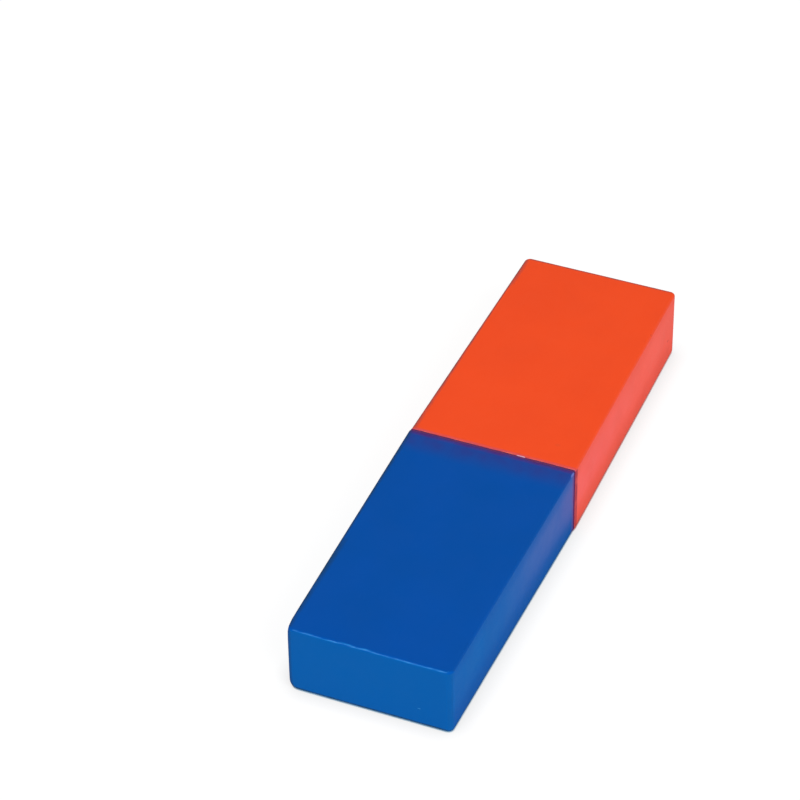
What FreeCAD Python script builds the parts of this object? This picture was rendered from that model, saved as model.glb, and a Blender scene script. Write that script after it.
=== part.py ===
"""Bar magnet in a plastic case: two moulded caps, blue and red, glued mouth to mouth over a ferrite bar.

Frame: +X along the bar from the blue end to the red end, +Z up, origin under the middle of the bar.
Each cap is a drafted cup. It is widest at its mouth, so the bar is widest at the seam in its middle.
"""

import FreeCAD, Part
import os

import Sketcher

doc = FreeCAD.newDocument("block_magnet")


# Driving dimensions, in millimetres

SIZES = [
    ("bar_length", 80.0, "over both closed ends"),
    ("mouth_width", 22.5, "outside of a cap, across the bar, at its mouth"),
    ("mouth_height", 9.9, "outside of a cap, upright, at its mouth"),
    ("side_draft", 0.5, "how far each narrow outer wall leans in from the mouth to the closed end"),
    ("broad_draft", 0.1, "the same for the upper and the lower wall"),
    ("corner_radius", 0.8, "upright corners of a closed end"),
    ("edge_radius", 0.3, "long edges, and the upper and lower edges of a closed end"),
    ("lip_radius", 0.15, "outer edge of a mouth; two of them leave the fine groove at the seam"),
    ("side_wall", 1.5, "narrow walls of a cap, at its closed end"),
    ("broad_wall", 1.3, "upper and lower walls of a cap, at its closed end"),
    ("end_wall", 1.6, "wall behind a pole face"),
    ("cavity_draft", 0.12, "how far each cavity wall leans in from the mouth to the floor"),
    ("cavity_radius", 0.5, "inner corners of a cavity"),
    ("cap_shift", 0.06, "each cap is glued this far off the middle line, to opposite sides"),
    ("glue_gap", 0.1, "room for adhesive between the ferrite bar and the walls"),
    ("ferrite_corner_radius", 1.0, "upright corners of the ferrite bar"),
    ("ferrite_chamfer", 0.5, "upper and lower edges of the ferrite bar"),
]

sizes = doc.addObject("Spreadsheet::Sheet", "Sizes")
for row, (name, value, meaning) in enumerate(SIZES, start=1):
    sizes.set(f"A{row}", name)
    sizes.set(f"B{row}", str(value))
    sizes.set(f"C{row}", meaning)
    sizes.setAlias(f"B{row}", name)
doc.recompute()


# Sizes that follow from them, as expressions

CAP_LENGTH = "(Sizes.bar_length / 2)"
END_WIDTH = "(Sizes.mouth_width - 2 * Sizes.side_draft)"
END_HEIGHT = "(Sizes.mouth_height - 2 * Sizes.broad_draft)"

CAVITY_DEPTH = f"({CAP_LENGTH} - Sizes.end_wall)"
FLOOR_WIDTH = f"({END_WIDTH} - 2 * Sizes.side_wall)"
FLOOR_HEIGHT = f"({END_HEIGHT} - 2 * Sizes.broad_wall)"
CAVITY_WIDTH = f"({FLOOR_WIDTH} + 2 * Sizes.cavity_draft)"
CAVITY_HEIGHT = f"({FLOOR_HEIGHT} + 2 * Sizes.cavity_draft)"

FERRITE_LENGTH = f"(2 * ({CAVITY_DEPTH} - Sizes.glue_gap))"
FERRITE_WIDTH = f"({FLOOR_WIDTH} - 2 * (Sizes.glue_gap + Sizes.cap_shift))"
FERRITE_HEIGHT = f"({FLOOR_HEIGHT} - 2 * Sizes.glue_gap)"


# Bodies and sketches: an outline is drawn at about its place, then held by constraints and bound sizes

ORIGIN = (-1, 1)
X_AXIS = -1
Y_AXIS = -2


def start(line):
    """The place of a line's starting point, as constraints take it."""
    return line, 1


def end(line):
    """The place of a line's end point."""
    return line, 2


def new_body(label, height):
    """A body whose own lowest level is Z = 0, lifted so that its mid height is the bar's."""
    body = doc.addObject("PartDesign::Body", label)
    body.Label = label
    body.setExpression("Placement.Base.z", f"(Sizes.mouth_height - {height}) / 2")
    return body


def add_sketch(body, name, role):
    """A sketch on one of the body's origin planes."""
    plane = next(feature for feature in body.Origin.OriginFeatures if feature.Role == role)
    sketch = body.newObject("Sketcher::SketchObject", f"{body.Label}_{name}")
    sketch.AttachmentSupport = (plane, [""])
    sketch.MapMode = "FlatFace"
    return sketch


def add_outline(sketch, *points):
    """A closed outline of straight lines, given by their starting points."""
    corners = [FreeCAD.Vector(x, y, 0) for x, y in points]
    ends = corners[1:] + corners[:1]
    lines = [sketch.addGeometry(Part.LineSegment(*pair), False) for pair in zip(corners, ends)]
    for line, following in zip(lines, lines[1:] + lines[:1]):
        constrain(sketch, "Coincident", *end(line), *start(following))
    return lines


def constrain(sketch, kind, *places, size=None):
    """One constraint. With a size it is a dimension, bound to that expression."""
    if size is None:
        sketch.addConstraint(Sketcher.Constraint(kind, *places))
        return
    first_value = float(sizes.evalExpression(size.replace("Sizes.", "")))
    number = sketch.addConstraint(Sketcher.Constraint(kind, *places, first_value))
    sketch.setExpression(f"Constraints[{number}]", size)


def pad(body, sketch, height):
    """A sketch raised to a height."""
    block = body.newObject("PartDesign::Pad", f"{body.Label}_block")
    block.Profile = sketch
    block.setExpression("Length", height)
    doc.recompute()
    return block


# Edges, found by where they lie on the shape so far

FLAT = 1e-5


def soften(body, kind, name, base, edges, size):
    """A fillet or chamfer on edges of the base feature, its size bound to a cell."""
    names = [f"Edge{number}" for number, edge in enumerate(base.Shape.Edges, start=1)
             if any(edge.isSame(wanted) for wanted in edges)]
    feature = body.newObject(f"PartDesign::{kind}", f"{body.Label}_{name}")
    feature.Base = (base, names)
    feature.setExpression("Radius" if kind == "Fillet" else "Size", size)
    doc.recompute()
    return feature


def faces_across(shape):
    """The flat faces square to X, in order along X."""
    faces = [face for face in shape.Faces if face.BoundBox.XLength < FLAT]
    return sorted(faces, key=lambda face: face.CenterOfMass.x)


def rims(shape):
    """The edges round the outermost faces above and below."""
    faces = sorted(shape.Faces, key=lambda face: face.CenterOfMass.z)
    return faces[-1].Edges + faces[0].Edges


# Drafted block: the form of a cap's outside, and of the steel core that leaves its cavity

def drafted_block(body, depth, width, height, side_draft, broad_draft):
    """A block along +X whose four long sides lean in from the mouth at X = 0 to the closed end."""
    plan = add_sketch(body, "plan", "XY_Plane")
    near, closed_end, _, mouth = add_outline(plan, (0, -11), (40, -10), (40, 10), (0, 11))
    constrain(plan, "PointOnObject", *end(mouth), Y_AXIS)
    constrain(plan, "Symmetric", *start(mouth), *end(mouth), X_AXIS)
    constrain(plan, "Symmetric", *start(closed_end), *end(closed_end), X_AXIS)
    constrain(plan, "DistanceX", *start(near), *end(near), size=depth)
    constrain(plan, "DistanceY", *end(mouth), *start(mouth), size=width)
    constrain(plan, "DistanceY", *start(closed_end), *end(closed_end), size=f"({width} - 2 * {side_draft})")
    block = pad(body, plan, height)

    wedges = add_sketch(body, "wedges", "XZ_Plane")
    lower, lower_end, _ = add_outline(wedges, (0, 0), (40, 0), (40, 1))
    _, upper_end, upper = add_outline(wedges, (0, 9), (40, 8), (40, 9))
    constrain(wedges, "Coincident", *start(lower), *ORIGIN)
    constrain(wedges, "PointOnObject", *end(upper), Y_AXIS)
    constrain(wedges, "DistanceY", *ORIGIN, *end(upper), size=height)
    constrain(wedges, "DistanceX", *start(lower), *end(lower), size=depth)
    constrain(wedges, "DistanceX", *end(upper), *start(upper), size=depth)
    for level, thick_end in ((lower, lower_end), (upper, upper_end)):
        constrain(wedges, "Horizontal", level)
        constrain(wedges, "Vertical", thick_end)
        constrain(wedges, "DistanceY", *start(thick_end), *end(thick_end), size=broad_draft)
    drafted = body.newObject("PartDesign::Pocket", f"{body.Label}_drafted")
    drafted.Profile = wedges
    drafted.Type = "ThroughAll"
    drafted.Midplane = True
    doc.recompute()
    if drafted.Shape.Volume >= block.Shape.Volume:
        raise RuntimeError(f"{body.Label}: the draft cut missed the block")
    return drafted


# Case cap: a cup moulded in gloss plastic, its outer edges rounded and its mouth's edge just broken

def cap_outside(label):
    """The outer form, solid."""
    body = new_body(f"{label}_outside", "Sizes.mouth_height")
    block = drafted_block(body, CAP_LENGTH, "Sizes.mouth_width", "Sizes.mouth_height",
                          "Sizes.side_draft", "Sizes.broad_draft")
    uprights = [edge for edge in faces_across(block.Shape)[-1].Edges if edge.BoundBox.YLength < FLAT]
    corners = soften(body, "Fillet", "corners", block, uprights, "Sizes.corner_radius")
    round_the_cap = [edge for edge in rims(corners.Shape) if edge.BoundBox.XMax > FLAT]
    edges = soften(body, "Fillet", "edges", corners, round_the_cap, "Sizes.edge_radius")
    mouth = faces_across(edges.Shape)[0]
    soften(body, "Fillet", "lip", edges, mouth.Edges, "Sizes.lip_radius")
    return body


def cap_core(label):
    """The space inside, rounded in all its corners."""
    body = new_body(f"{label}_core", CAVITY_HEIGHT)
    block = drafted_block(body, CAVITY_DEPTH, CAVITY_WIDTH, CAVITY_HEIGHT,
                          "Sizes.cavity_draft", "Sizes.cavity_draft")
    inner = [edge for edge in block.Shape.Edges if edge.BoundBox.XMax > FLAT]
    soften(body, "Fillet", "corners", block, inner, "Sizes.cavity_radius")
    return body


def make_cap(label, turn_deg, shift):
    """One cap. Both come from the same mould, and the blue one is turned round to meet the red one."""
    cap = doc.addObject("Part::Cut", label)
    cap.Label = label
    cap.Base = cap_outside(label)
    cap.Tool = cap_core(label)
    cap.Placement.Rotation = FreeCAD.Rotation(FreeCAD.Vector(0, 0, 1), turn_deg)
    cap.setExpression("Placement.Base.y", shift)
    return cap


# Ferrite bar: pressed and sintered, magnetised along its length, it fills both cavities across the seam

def make_ferrite_bar(label):
    """The hidden magnet, which also lines the two caps up."""
    body = new_body(label, FERRITE_HEIGHT)
    plan = add_sketch(body, "plan", "XY_Plane")
    bottom, right, top, left = add_outline(plan, (-38, -9), (38, -9), (38, 9), (-38, 9))
    for line in (bottom, top):
        constrain(plan, "Horizontal", line)
    for line in (left, right):
        constrain(plan, "Vertical", line)
    constrain(plan, "Symmetric", *start(bottom), *end(right), *ORIGIN)
    constrain(plan, "DistanceX", *start(bottom), *end(bottom), size=FERRITE_LENGTH)
    constrain(plan, "DistanceY", *start(right), *end(right), size=FERRITE_WIDTH)
    block = pad(body, plan, FERRITE_HEIGHT)

    uprights = [edge for edge in block.Shape.Edges if edge.BoundBox.ZLength > FLAT]
    corners = soften(body, "Fillet", "corners", block, uprights, "Sizes.ferrite_corner_radius")
    soften(body, "Chamfer", "rims", corners, rims(corners.Shape), "Sizes.ferrite_chamfer")
    return body


pieces = [
    make_cap("blue_cap", 180, "Sizes.cap_shift"),
    make_cap("red_cap", 0, "-Sizes.cap_shift"),
    make_ferrite_bar("ferrite_magnet"),
]
doc.recompute()


# Checks and output

for thing in doc.Objects:
    if "Invalid" in thing.State or "Error" in thing.State:
        raise RuntimeError(f"{thing.Label} failed: {thing.State}")

for piece in pieces:
    shape = piece.Shape
    if shape.isNull() or not shape.isValid() or len(shape.Solids) != 1:
        raise RuntimeError(f"{piece.Label} is not one valid solid")
    box = shape.BoundBox
    print(f"{piece.Label}: {shape.Volume:.1f} mm3, X {box.XMin:.2f} to {box.XMax:.2f}, "
          f"Y {box.YMin:.2f} to {box.YMax:.2f}, Z {box.ZMin:.2f} to {box.ZMax:.2f}")

os.makedirs("parts", exist_ok=True)
for piece in pieces:
    piece.Shape.exportStep(f"parts/{piece.Label}.step")
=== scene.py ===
"""A block magnet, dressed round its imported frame: a ferrite bar glued into two moulded plastic caps.

Metres throughout. +X runs from the blue pole face to the orange-red one, and +Z is up.
"""
import math

import bmesh
import bpy
from mathutils import Matrix, Vector, noise


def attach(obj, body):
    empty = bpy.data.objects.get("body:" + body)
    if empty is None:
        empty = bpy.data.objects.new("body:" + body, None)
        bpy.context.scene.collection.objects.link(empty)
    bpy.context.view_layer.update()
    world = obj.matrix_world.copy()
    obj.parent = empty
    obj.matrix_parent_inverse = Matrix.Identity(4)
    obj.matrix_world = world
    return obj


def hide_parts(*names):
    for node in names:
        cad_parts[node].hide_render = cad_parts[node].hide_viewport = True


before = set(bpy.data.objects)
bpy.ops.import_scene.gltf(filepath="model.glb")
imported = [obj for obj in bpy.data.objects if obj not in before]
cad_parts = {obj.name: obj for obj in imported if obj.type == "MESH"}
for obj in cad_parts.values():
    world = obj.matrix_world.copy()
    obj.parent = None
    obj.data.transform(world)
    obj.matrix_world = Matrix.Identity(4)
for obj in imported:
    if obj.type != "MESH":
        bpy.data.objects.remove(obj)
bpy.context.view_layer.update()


# Ferrite bar. Strontium ferrite powder, pressed in a die and sintered to a hard grey-black ceramic.
# It is the magnet itself and lies sealed inside the two caps, so its CAD solid stays as it is
# and only gets its finish.

MM = 0.001


def linear(hex_colour):
    """The linear colour and alpha that a socket takes, from an sRGB hex value."""
    parts = [int(hex_colour[i:i + 2], 16) / 255 for i in (1, 3, 5)]
    return [c / 12.92 if c <= 0.04045 else ((c + 0.055) / 1.055) ** 2.4 for c in parts] + [1.0]


def add(tree, kind, sockets, **settings):
    """A node of that kind with its settings. Each of its sockets gets a value or the output that feeds it."""
    node = tree.nodes.new(kind)
    for name, value in settings.items():
        setattr(node, name, value)
    for socket, value in sockets.items():
        if isinstance(value, bpy.types.NodeSocket):
            tree.links.new(value, node.inputs[socket])
        else:
            node.inputs[socket].default_value = value
    return node


def blank_material(name):
    """A material of that name and its empty node tree."""
    material = bpy.data.materials.new(name)
    material.use_nodes = True
    material.node_tree.nodes.clear()
    return material, material.node_tree


def sintered_ferrite():
    """Sintered ferrite, as it comes from the kiln: matt and nearly black, with coarse crystal grain."""
    material, tree = blank_material("sintered_ferrite")
    place = add(tree, "ShaderNodeTexCoord", {}).outputs["Object"]
    # The real crystals are far finer; at 0.25 mm their grain still shows.
    grain = add(tree, "ShaderNodeTexNoise", {"Vector": place, "Scale": 1 / (0.25 * MM), "Detail": 4.0})
    tone = add(tree, "ShaderNodeMix", {0: grain.outputs["Fac"], 6: linear("#2B2A2C"), 7: linear("#56544F")},
               data_type="RGBA")
    dent = add(tree, "ShaderNodeBump", {"Height": grain.outputs["Fac"], "Strength": 0.4,
                                        "Distance": 0.03 * MM})
    body = add(tree, "ShaderNodeBsdfPrincipled", {"Base Color": tone.outputs[2], "Roughness": 0.62,
                                                  "Normal": dent.outputs["Normal"]})
    add(tree, "ShaderNodeOutputMaterial", {"Surface": body.outputs["BSDF"]})
    return material


ferrite_finish = sintered_ferrite()
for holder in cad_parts["ferrite_magnet"].material_slots:
    holder.material = ferrite_finish


# Blue cap. A cup injection-moulded in semi-gloss ABS, closed at its pole face and open at the joint.
# It is widest at the joint, by the draft that lets it off the steel core, and the mould rounds all
# its edges. It is glued over one half of the ferrite bar.

HALF_BAR = 40.0 * MM
JOINT_SECTION = (22.5 * MM, 9.9 * MM)
POLE_SECTION = (21.5 * MM, 9.7 * MM)
MID_HEIGHT = 4.95 * MM
CORNER_RADIUS = 0.8 * MM
EDGE_RADIUS = 0.3 * MM
LIP_RADIUS = 0.08 * MM
BOND_GAP = 0.28 * MM
SIDE_WALL = 1.5 * MM
BROAD_WALL = 1.3 * MM
CUP_DEPTH = 38.3 * MM
CAP_SHIFT = 0.06 * MM
BAND_HEIGHT = 6.0 * MM
BAND_REACH = 4.2 * MM


def round_edges(form, edges, radius, segments):
    """Rounds those edges to the radius."""
    bmesh.ops.bevel(form, geom=edges, offset=radius, offset_type="OFFSET", affect="EDGES",
                    segments=segments, profile=0.5, material=-1, loop_slide=True)


def facing(form, direction):
    """The largest face that looks that way."""
    flat = [f for f in form.faces if f.normal.dot(Vector(direction)) > 0.99]
    return max(flat, key=lambda f: f.calc_area())


def slice_across(form, axis, places):
    """Cuts edge loops through the form where that axis has those values."""
    normal = Vector((axis == "x", axis == "y", axis == "z"))
    for place in places:
        bmesh.ops.bisect_plane(form, geom=form.verts[:] + form.edges[:] + form.faces[:], dist=1e-7,
                               plane_co=normal * place, plane_no=normal)


def cap_form():
    """A cap with its mouth at the joint and its pole face at +X, sliced finely enough to hold its wear."""
    form = bmesh.new()
    middle = Matrix.Translation((HALF_BAR / 2, 0, MID_HEIGHT))
    bmesh.ops.create_cube(form, size=1.0, matrix=middle @ Matrix.Diagonal((HALF_BAR, *JOINT_SECTION, 1)))
    for v in form.verts:
        if v.co.x > HALF_BAR / 2:
            v.co.y *= POLE_SECTION[0] / JOINT_SECTION[0]
            v.co.z = MID_HEIGHT + (v.co.z - MID_HEIGHT) * POLE_SECTION[1] / JOINT_SECTION[1]
        else:
            v.co.x += BOND_GAP / 2
    upright = [e for e in form.edges if abs(e.verts[0].co.z - e.verts[1].co.z) > MID_HEIGHT
               and e.verts[0].co.x > HALF_BAR / 2]
    round_edges(form, upright, CORNER_RADIUS, 10)
    form.normal_update()
    rims = {e for up in (1, -1) for e in facing(form, (0, 0, up)).edges}
    round_edges(form, [e for e in rims if max(v.co.x for v in e.verts) > MM], EDGE_RADIUS, 6)
    form.normal_update()
    mouth = facing(form, (-1, 0, 0))
    round_edges(form, list(mouth.edges), LIP_RADIUS, 4)
    form.normal_update()
    mouth = facing(form, (-1, 0, 0))
    bmesh.ops.inset_region(form, faces=[mouth], thickness=BROAD_WALL - LIP_RADIUS, use_even_offset=True)
    for v in mouth.verts:
        v.co.y *= (JOINT_SECTION[0] - 2 * SIDE_WALL) / (JOINT_SECTION[0] - 2 * BROAD_WALL)
    cup = bmesh.ops.extrude_face_region(form, geom=[mouth])
    bmesh.ops.delete(form, geom=[mouth], context="FACES")
    for v in (g for g in cup["geom"] if isinstance(g, bmesh.types.BMVert)):
        v.co.x += CUP_DEPTH
    slice_across(form, "x", [t * MM for t in (0.35, 0.9, *range(2, 39, 2), 39.0, 39.45)])
    slice_across(form, "y", [t * 0.5 * MM for t in range(-21, 22)])
    slice_across(form, "z", [t * MM for t in (0.55, 1.0, 2.2, 3.5, 4.95, 6.4, 7.7, 8.9)])
    form.normal_update()
    return form


def weather(form, seed):
    """The unevenness of a real moulding: a wandering lip, and skins and edges that aren't dead true."""
    broad_size, broad_depth = 7 * MM, 0.010 * MM
    fine_size, fine_depth = 1.3 * MM, 0.006 * MM
    lip_size, lip_wander = 1.7 * MM, 0.09 * MM
    away = Vector((seed, 0, 0))
    for v in form.verts:
        inside = v.co.x > LIP_RADIUS + BOND_GAP and abs(v.co.y) < 9.9 * MM and 1.2 * MM < v.co.z < 8.7 * MM
        if inside and v.co.x < 39 * MM:
            continue
        broad = noise.noise(v.co / broad_size + away) * broad_depth
        fine = noise.noise(v.co / fine_size + away) * fine_depth
        v.co += v.normal * (broad + fine - broad_depth)
        if v.co.x < BOND_GAP / 2 + LIP_RADIUS:
            v.co.x += noise.noise(v.co / lip_size + away) * lip_wander


def blunt(form, corner, outward, depth, rim):
    """A corner worn round: what stands past a plane across it is pressed back, with a soft rim, all in mm."""
    outward = Vector(outward).normalized()
    for v in form.verts:
        past = (v.co / MM - Vector(corner)).dot(outward) + depth
        if past > -6 * rim:
            v.co -= outward * rim * math.log(1 + math.exp(past / rim)) * MM


def mark_wear(form):
    """Notes on each vertex how much painted highlight, grime and painted shade, or painted reflection the
    skin takes there.
    """
    names = ("highlight_rim", "grime_and_shade", "reflection_band", "pole", "side", "broad")
    highlight_rim, grime_and_shade, reflection_band, pole, side, broad = (form.verts.layers.float.new(name) for name in names)
    for v in form.verts:
        along = abs(v.co.x) / HALF_BAR
        half_width, half_height = (wide / 2 + (narrow - wide) / 2 * along
                                   for wide, narrow in zip(JOINT_SECTION, POLE_SECTION))
        by_foot = half_height + v.co.z - MID_HEIGHT < 1.2 * EDGE_RADIUS
        by_far_rim = max(v.co.y - half_width, v.co.x - HALF_BAR) > -1.3 * EDGE_RADIUS
        on_lip = abs(v.co.x) < BOND_GAP / 2 + 1.5 * LIP_RADIUS
        rounded = max(abs(part) for part in v.normal) < 0.985 and not on_lip
        upright = abs(v.normal.z) < 0.1
        on_pole_rim = v.normal.x < -0.1 and v.normal.z > 0.1
        on_key_lit_rim = v.normal.y < -0.1 and v.normal.z > 0.1
        # A painted highlight lies along a wavering line on the near rim of the blue pole face, where the coat
        # also adds gloss.
        highlight_line = 0.68 + 0.3 * noise.noise(v.co / (1.5 * MM))
        v[highlight_rim] = float(on_pole_rim and abs(v.normal.y) < 0.15 and v.co.y < 9.8 * MM
                          and abs(v.normal.z - highlight_line) < 0.2)
        # Grime and painted shade: the roundings, the foot, the far rim and the blue lip are darkened, the rim
        # that the key light catches a little, and the narrow sides more towards the bottom.
        if on_lip:
            v[grime_and_shade] = 0.5 if v.co.x < 0 else 0.0
        elif rounded and not upright and not on_pole_rim:
            v[grime_and_shade] = 0.2 if on_key_lit_rim else 1.0
        elif rounded and upright:
            v[grime_and_shade] = 0.2
        elif by_far_rim and v.normal.z > 0.9:
            v[grime_and_shade] = 0.8
        elif by_foot and v.normal.z > -0.9:
            v[grime_and_shade] = 0.8
        elif abs(v.normal.y) > 0.9:
            v[grime_and_shade] = max(0.0, 0.2 - v.co.z / MM * 0.06)
        v[pole] = float(abs(v.normal.x) > 0.9 or (rounded and upright))
        v[side] = float(abs(v.normal.y) > (0.5 if on_lip else 0.9))
        v[broad] = 1 - v[side]
        # The painted reflection band runs along the middle height of each narrow side.
        band = 1 - abs(v.co.z - BAND_HEIGHT) / BAND_REACH
        v[reflection_band] = max(0.0, min(1.0, 1.6 * band)) * v[side]


def finished_piece(name, form):
    """The form as a smooth-shaded object of that name, riding on the magnet's one body."""
    mesh = bpy.data.meshes.new(name)
    form.to_mesh(mesh)
    form.free()
    for face in mesh.polygons:
        face.use_smooth = True
    piece = bpy.data.objects.new(name, mesh)
    bpy.context.scene.collection.objects.link(piece)
    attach(piece, "root")
    return piece


def moulded_plastic(name, tones, side_light_tone, pole_light_tone, reflection_band_tones, highlight_tone, grime_and_shade_tone, joint_lights,
                    gloss, gloss_tint, marks_and_glints):
    """ABS from a polished mould: semi-gloss, with fine grain, hairlines, grime and painted light and shade.

    The skin turns from one of its two tones to the other in wide clouds, and the narrow sides and pole
    faces have painted tones of their own for the light and reflection that fall on them. The reflection band
    tones, a painted reflection on the narrow sides, are at the joint and far from it. A joint light, painted
    reflection, shade or highlight by the joint, has a kind of skin, a tone, how many mm from the joint it
    starts and stops to fade, and its share at the joint. A mark or glint has a place and half sizes in mm,
    and a tone.
    """
    material, tree = blank_material(name)
    place = add(tree, "ShaderNodeTexCoord", {}).outputs["Object"]

    def mottle(size, low, high, detail=2.0):
        cloud = add(tree, "ShaderNodeTexNoise", {"Vector": place, "Scale": 1 / size, "Detail": detail})
        return add(tree, "ShaderNodeMapRange", {"Value": cloud.outputs["Fac"], "From Min": 0.35,
                                                "From Max": 0.65, "To Min": low, "To Max": high}).outputs[0]

    def times(one, other):
        return add(tree, "ShaderNodeMath", {0: one, 1: other}, operation="MULTIPLY").outputs[0]

    def wear(kind):
        return add(tree, "ShaderNodeAttribute", {}, attribute_name=kind).outputs["Fac"]

    def over(share, under, tone):
        return add(tree, "ShaderNodeMix", {0: share, 6: under, 7: tone}, data_type="RGBA").outputs[2]

    colour = over(mottle(9 * MM, 0.0, 1.0), linear(tones[0]), linear(tones[1]))
    # Painted light: the narrow sides and the pole faces take tones of their own for the light and reflection
    # that fall on them.
    colour = over(wear("side"), colour, linear(side_light_tone))
    colour = over(wear("pole"), colour, linear(pole_light_tone))
    along = add(tree, "ShaderNodeSeparateXYZ", {0: place}).outputs["X"]
    off_joint = add(tree, "ShaderNodeMath", {0: along}, operation="ABSOLUTE").outputs[0]

    def by_joint(near, far, share):
        return add(tree, "ShaderNodeMapRange", {
            "Value": off_joint, "From Min": near, "From Max": far, "To Min": share, "To Max": 0.0},
            interpolation_type="SMOOTHSTEP").outputs[0]

    # Painted reflection: a pale band on the narrow sides, in one tone by the joint and another far from it.
    band = over(by_joint(2 * MM, 30 * MM, 1.0), linear(reflection_band_tones[1]), linear(reflection_band_tones[0]))
    colour = over(times(wear("reflection_band"), mottle(5 * MM, 0.7, 1.0)), colour, band)
    # Painted light by the joint: reflection of the red cap, shade in the groove and a highlight on the red
    # lip.
    for kind, tone, near, far, share in joint_lights:
        joint_light = times(by_joint(near * MM, far * MM, share), mottle(2 * MM, 0.6, 1.0))
        colour = over(times(joint_light, wear(kind)), colour, linear(tone))
    # Painted highlight along the rim; the coat below adds real gloss there.
    colour = over(times(wear("highlight_rim"), mottle(2 * MM, 0.3, 0.9)), colour, linear(highlight_tone))
    # Grime and painted shade in the roundings, at the foot and on the far rim.
    colour = over(times(wear("grime_and_shade"), mottle(1.5 * MM, 0.6, 1.0)), colour, linear(grime_and_shade_tone))
    # Marks are specks and a scratch; one is a painted highlight.
    for at, half_size, tone in marks_and_glints:
        off = add(tree, "ShaderNodeVectorMath", {0: place, 1: [t * MM for t in at]}, operation="SUBTRACT")
        part = add(tree, "ShaderNodeVectorMath", {0: off.outputs[0], 1: [t * MM for t in half_size]},
                   operation="DIVIDE")
        far = add(tree, "ShaderNodeVectorMath", {0: part.outputs[0]}, operation="LENGTH").outputs["Value"]
        spot = add(tree, "ShaderNodeMapRange", {"Value": far, "From Min": 0.5, "From Max": 1.0,
                                                "To Min": 0.8, "To Max": 0.0}).outputs[0]
        colour = over(spot, colour, linear(tone))
    # The grain that a polished mould leaves is a tenth as coarse; at 0.3 mm it breaks up the gloss.
    grain = add(tree, "ShaderNodeTexNoise", {"Vector": place, "Scale": 1 / (0.3 * MM), "Detail": 3.0})
    dent = add(tree, "ShaderNodeBump", {"Height": grain.outputs["Fac"], "Strength": 0.12,
                                        "Distance": 0.02 * MM})
    # Wiping draws the hairlines out along the bar. They are a little duller than the skin round them.
    drawn = add(tree, "ShaderNodeMapping", {"Vector": place, "Rotation": (0.3, 0.2, 0.6),
                                            "Scale": (0.04, 1.0, 0.3)}).outputs["Vector"]
    hair = add(tree, "ShaderNodeTexNoise", {"Vector": drawn, "Scale": 1 / (0.25 * MM), "Detail": 1.0})
    hairlines = add(tree, "ShaderNodeMapRange", {"Value": hair.outputs["Fac"], "From Min": 0.66,
                                                 "From Max": 0.72, "To Min": 0.0, "To Max": 0.05})
    rough = add(tree, "ShaderNodeMath", {0: mottle(4 * MM, 0.50, 0.62, 3.0), 1: hairlines.outputs[0]},
                operation="ADD").outputs[0]
    body = add(tree, "ShaderNodeBsdfPrincipled", {
        "Base Color": colour, "Roughness": rough, "IOR": 1.45,
        "Specular IOR Level": gloss, "Specular Tint": linear(gloss_tint), "Normal": dent.outputs["Normal"],
        "Coat Weight": times(wear("highlight_rim"), mottle(2 * MM, 0.1, 0.45)), "Coat Roughness": 0.28})
    add(tree, "ShaderNodeOutputMaterial", {"Surface": body.outputs["BSDF"]})
    return material


def cap(name, node, seed, turn, shift, worn_corners, finish):
    """One finished cap, turned and set off the middle line as it was glued, in place of its CAD node."""
    form = cap_form()
    weather(form, seed)
    bmesh.ops.rotate(form, verts=form.verts, cent=(0, 0, 0), matrix=Matrix.Rotation(turn, 3, "Z"))
    bmesh.ops.translate(form, verts=form.verts, vec=(0, shift, 0))
    for worn in worn_corners:
        blunt(form, *worn)
    form.normal_update()
    mark_wear(form)
    piece = finished_piece(name, form)
    piece.data.materials.append(finish)
    even = piece.modifiers.new("even_shading", "WEIGHTED_NORMAL")
    even.mode = "FACE_AREA"
    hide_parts(node)


# Blue ABS. By the joint it takes a painted purple reflection of the red cap and painted groove shade, its
# sides a painted pale reflection band, and its near rim a painted highlight. The pole face has a scratch, and
# a pale violet spot by the joint is a painted highlight. Two corners are knocked round.
blue_finish = moulded_plastic(
    "blue_moulded_abs", tones=("#044BA2", "#044A9E"), side_light_tone="#0056AB", pole_light_tone="#0057A4",
    reflection_band_tones=("#4864AF", "#0661B0"), highlight_tone="#1478C4", grime_and_shade_tone="#183E68",
    joint_lights=[("broad", "#283A8A", 1.5, 4.5, 0.85), ("reflection_band", "#5C60AA", 1.5, 6.0, 0.8),
            ("broad", "#54206C", 0.25, 0.95, 0.95), ("side", "#7C3C78", 0.3, 1.1, 0.7)],
    gloss=0.2, gloss_tint="#20D8FF",
    marks_and_glints=[((-40.0, -6.45, 2.7), (0.3, 0.28, 0.07), "#3E8CCB"),
           # A pale violet spot on the top edge by the joint is a painted highlight.
           ((-0.7, -11.16, 9.75), (0.6, 0.16, 0.3), "#6A76C0")])
knocked_foot = ((-40, 10.81, 0.1), (-1, 1, -1), 0.58, 0.12)
knocked_rim = ((-40, 10.81, 9.8), (-0.2, 0.9, 0.3), 0.36, 0.08)
cap("blue_moulding", "blue_cap", seed=3.0, turn=math.pi, shift=CAP_SHIFT,
    worn_corners=[knocked_foot, knocked_rim], finish=blue_finish)


# Orange-red cap. The same moulding in the other colour, for the other pole, from the same mould. It is
# glued over the other half of the ferrite bar, a hair to the other side of the middle line.

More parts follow.
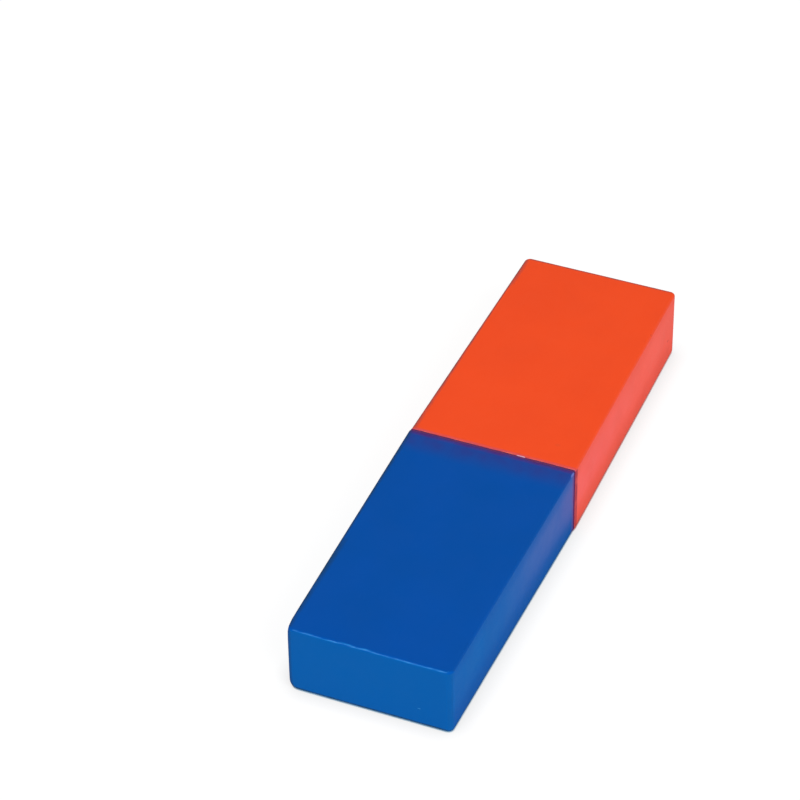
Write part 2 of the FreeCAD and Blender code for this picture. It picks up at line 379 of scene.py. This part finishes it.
# Orange-red ABS. Its sides take a painted pink reflection band, its lip a painted pink highlight and painted
# groove shade, and three specks are pressed in.
red_finish = moulded_plastic(
    "red_moulded_abs", tones=("#F54808", "#F24607"), side_light_tone="#F4533E", pole_light_tone="#F34E20",
    reflection_band_tones=("#FA605A", "#FA6050"), highlight_tone="#FF6A40", grime_and_shade_tone="#9A4440",
    joint_lights=[("broad", "#C84C5C", 0.2, 0.8, 0.9), ("side", "#98203C", 0.5, 1.05, 0.95)],
    gloss=0.5, gloss_tint="#FFFFFF",
    marks_and_glints=[((37.1, -10.8, 3.6), (0.3, 0.3, 0.2), "#C03A30"),
           ((29.9, -10.9, 9.9), (0.35, 0.3, 0.3), "#CC4020"),
           ((4.0, -7.4, 9.85), (0.35, 0.45, 0.5), "#ED4815")])
cap("red_moulding", "red_cap", seed=11.0, turn=0.0, shift=-CAP_SHIFT,
    worn_corners=[], finish=red_finish)


# Bond line. The caps are glued mouth to mouth. The cured adhesive stands a little below the skin in the
# groove between the two lips. Its dark maroon is painted shade, the shadow in the groove.

BOND_RECESS = 0.02 * MM
BOND_BITE = 0.04 * MM
BOND_BREADTH = 1.0 * MM
BOND_WANDER = 0.03 * MM


def shaded_adhesive():
    """Cured adhesive in dark maroon, painted shade for the groove: matt and uneven."""
    material, tree = blank_material("shaded_adhesive")
    place = add(tree, "ShaderNodeTexCoord", {}).outputs["Object"]
    patch = add(tree, "ShaderNodeTexNoise", {"Vector": place, "Scale": 1 / (1.2 * MM), "Detail": 2.0})
    # Painted shade: the dark maroon stands for the shadow in the groove.
    tone = add(tree, "ShaderNodeMix", {0: patch.outputs["Fac"], 6: linear("#400A5C"), 7: linear("#6C1850")},
               data_type="RGBA")
    body = add(tree, "ShaderNodeBsdfPrincipled", {"Base Color": tone.outputs[2], "Roughness": 0.7})
    add(tree, "ShaderNodeOutputMaterial", {"Surface": body.outputs["BSDF"]})
    return material


form = bmesh.new()
plate = (BOND_GAP + BOND_BITE, JOINT_SECTION[0] - 2 * BOND_RECESS, JOINT_SECTION[1] - 2 * BOND_RECESS)
middle = Matrix.Translation((0, 0, MID_HEIGHT))
bmesh.ops.create_cube(form, size=1.0, matrix=middle @ Matrix.Diagonal((*plate, 1)))
lengthwise = [e for e in form.edges if abs(e.verts[0].co.x - e.verts[1].co.x) > 0.01 * MM]
round_edges(form, lengthwise, EDGE_RADIUS - BOND_RECESS, 6)
form.normal_update()
sides = [facing(form, (1, 0, 0)), facing(form, (-1, 0, 0))]
bmesh.ops.inset_individual(form, faces=sides, thickness=BOND_BREADTH, use_even_offset=True)
bmesh.ops.delete(form, geom=sides, context="FACES")
hole = [e for e in form.edges if e.is_boundary]
bmesh.ops.bridge_loops(form, edges=hole)
slice_across(form, "y", [t * 0.5 * MM for t in range(-21, 22)])
for v in form.verts:
    v.co += Vector((0, v.normal.y, v.normal.z)) * noise.noise(v.co / (1.5 * MM)) * BOND_WANDER
bond = finished_piece("bond_line", form)
bond.data.materials.append(shaded_adhesive())


# Pale flake. A crumb of the same adhesive, squeezed out of the joint, stays pale in the rounding of the
# orange-red cap's lip; its pale pink is a painted highlight there.

FLAKE = (0.24 * MM, 1.4 * MM, 0.12 * MM)
FLAKE_AT = (0.19 * MM, -3.95 * MM, 9.86 * MM)
FLAKE_TOP = JOINT_SECTION[1] - 0.001 * MM


def glint_adhesive():
    """Dried adhesive in chalky pinkish white, dull, a painted highlight on the lip."""
    material, tree = blank_material("glint_adhesive")
    place = add(tree, "ShaderNodeTexCoord", {}).outputs["Object"]
    patch = add(tree, "ShaderNodeTexNoise", {"Vector": place, "Scale": 1 / (0.4 * MM), "Detail": 2.0})
    # Painted highlight: the pale pink stands for the light on the lip.
    tone = add(tree, "ShaderNodeMix", {0: patch.outputs["Fac"], 6: linear("#F0C8DC"), 7: linear("#A85878")},
               data_type="RGBA")
    body = add(tree, "ShaderNodeBsdfPrincipled", {"Base Color": tone.outputs[2], "Roughness": 0.8})
    add(tree, "ShaderNodeOutputMaterial", {"Surface": body.outputs["BSDF"]})
    return material


form = bmesh.new()
bmesh.ops.create_icosphere(form, subdivisions=3, radius=0.5,
                           matrix=Matrix.Translation(FLAKE_AT) @ Matrix.Diagonal((*FLAKE, 1)))
for v in form.verts:
    v.co += v.normal * noise.noise(v.co / (0.35 * MM)) * 0.05 * MM
    v.co.z = min(v.co.z, FLAKE_TOP)
flake = finished_piece("glint_flake", form)
flake.data.materials.append(glint_adhesive())


# Studio. A white sweep under the bar, seen as white wherever the bar's shadow isn't, two soft boxes
# and the room's own light. The camera stands where the photographer's did.

CAMERA_AT = (-0.311746, -0.121665, 0.289028)
LOOKS_AT = (0.0161442, 0.0195498, 0.0)
CAMERA_ROLL = math.radians(-0.939)
LENS = 154.63
ROOM_LIGHT = 0.35
WHITE = linear("#FFFFFF")

studio = bpy.context.scene
room = bpy.data.worlds.new("room")
studio.world = room
room.use_nodes = True
tree = room.node_tree
tree.nodes.clear()
path = add(tree, "ShaderNodeLightPath", {})
light = add(tree, "ShaderNodeBackground", {"Color": WHITE, "Strength": ROOM_LIGHT})
white = add(tree, "ShaderNodeBackground", {"Color": WHITE, "Strength": 1.0})
mixed = add(tree, "ShaderNodeMixShader", {0: path.outputs["Is Camera Ray"], 1: light.outputs[0],
                                          2: white.outputs[0]})
add(tree, "ShaderNodeOutputWorld", {"Surface": mixed.outputs[0]})

form = bmesh.new()
bmesh.ops.create_circle(form, cap_ends=True, segments=96, radius=3.0)
mesh = bpy.data.meshes.new("floor")
form.to_mesh(mesh)
form.free()
floor = bpy.data.objects.new("floor", mesh)
studio.collection.objects.link(floor)

# White paper. Plain matt paper lights the bar. The camera sees it near white, with a painted shadow a little
# darker within 3 mm of the bar. In the last 0.3 mm, where the two touch, it is painted with the colour of the
# light that the plastic throws on it. The weak gloss of the bar mirrors it as the dimmer grey that shaded
# paper has.
SHADE_REACH = 3 * MM
CONTACT_REACH = 0.3 * MM
paper, tree = blank_material("white_paper")
path = add(tree, "ShaderNodeLightPath", {})
lit = add(tree, "ShaderNodeBsdfDiffuse", {"Color": linear("#E7E7E7")})
pale = add(tree, "ShaderNodeBsdfDiffuse", {"Color": linear("#616161")})
open_sky = add(tree, "ShaderNodeAmbientOcclusion", {"Distance": SHADE_REACH}, samples=8)
share = add(tree, "ShaderNodeMapRange", {"Value": open_sky.outputs["AO"], "To Min": 0.6, "To Max": 0.92})
glow = add(tree, "ShaderNodeEmission", {"Color": WHITE, "Strength": share.outputs[0]})
shown = add(tree, "ShaderNodeAddShader", {0: pale.outputs[0], 1: glow.outputs[0]})
beneath = add(tree, "ShaderNodeAmbientOcclusion", {"Distance": CONTACT_REACH}, samples=8)
contact = add(tree, "ShaderNodeMapRange", {"Value": beneath.outputs["AO"], "From Min": 0.45, "From Max": 0.7,
                                           "To Min": 0.0, "To Max": 1.0})
place = add(tree, "ShaderNodeTexCoord", {}).outputs["Object"]
along = add(tree, "ShaderNodeSeparateXYZ", {0: place}).outputs["X"]
past_joint = add(tree, "ShaderNodeMapRange", {"Value": along, "From Min": -1 * MM, "From Max": 1 * MM,
                                              "To Min": 0.0, "To Max": 1.0}).outputs[0]
thrown = add(tree, "ShaderNodeMix", {0: past_joint, 6: linear("#659EBF"), 7: linear("#C97C76")},
             data_type="RGBA").outputs[2]
tinted = add(tree, "ShaderNodeBsdfDiffuse", {"Color": thrown})
shown = add(tree, "ShaderNodeMixShader", {0: contact.outputs[0], 1: tinted.outputs[0], 2: shown.outputs[0]})
seen = add(tree, "ShaderNodeMath", {0: path.outputs["Is Camera Ray"], 1: path.outputs["Is Transmission Ray"]},
           operation="MAXIMUM")
plain = add(tree, "ShaderNodeMixShader", {0: seen.outputs[0], 1: lit.outputs[0], 2: shown.outputs[0]})
in_shade = add(tree, "ShaderNodeMapRange", {"Value": open_sky.outputs["AO"], "To Min": 0.0, "To Max": 0.2})
mirrored = add(tree, "ShaderNodeEmission", {"Color": WHITE, "Strength": in_shade.outputs[0]})
both = add(tree, "ShaderNodeMixShader", {0: path.outputs["Is Glossy Ray"], 1: plain.outputs[0],
                                         2: mirrored.outputs[0]})
add(tree, "ShaderNodeOutputMaterial", {"Surface": both.outputs[0]})
mesh.materials.append(paper)


def softbox(name, at, size, power):
    """A square soft box that looks at the bar."""
    lamp = bpy.data.lights.new(name, "AREA")
    lamp.shape = "SQUARE"
    lamp.size = size
    lamp.energy = power
    box = bpy.data.objects.new(name, lamp)
    turned = (Vector((0, 0, MID_HEIGHT)) - Vector(at)).to_track_quat("-Z", "Y").to_matrix().to_4x4()
    box.matrix_world = Matrix.Translation(at) @ turned
    studio.collection.objects.link(box)


softbox("key_softbox", (-0.45, -0.62, 0.64), size=0.6, power=8.5)
softbox("left_softbox", (-0.70, 0.27, 0.67), size=0.3, power=2.5)

lens = bpy.data.cameras.new("camera")
lens.lens = LENS
lens.sensor_width = 36.0
lens.sensor_fit = "HORIZONTAL"
camera = bpy.data.objects.new("camera", lens)
studio.collection.objects.link(camera)
aim = (Vector(LOOKS_AT) - Vector(CAMERA_AT)).to_track_quat("-Z", "Y").to_matrix().to_4x4()
camera.matrix_world = Matrix.Translation(CAMERA_AT) @ aim @ Matrix.Rotation(CAMERA_ROLL, 4, "Z")
studio.camera = camera
studio.view_settings.view_transform = "Standard"
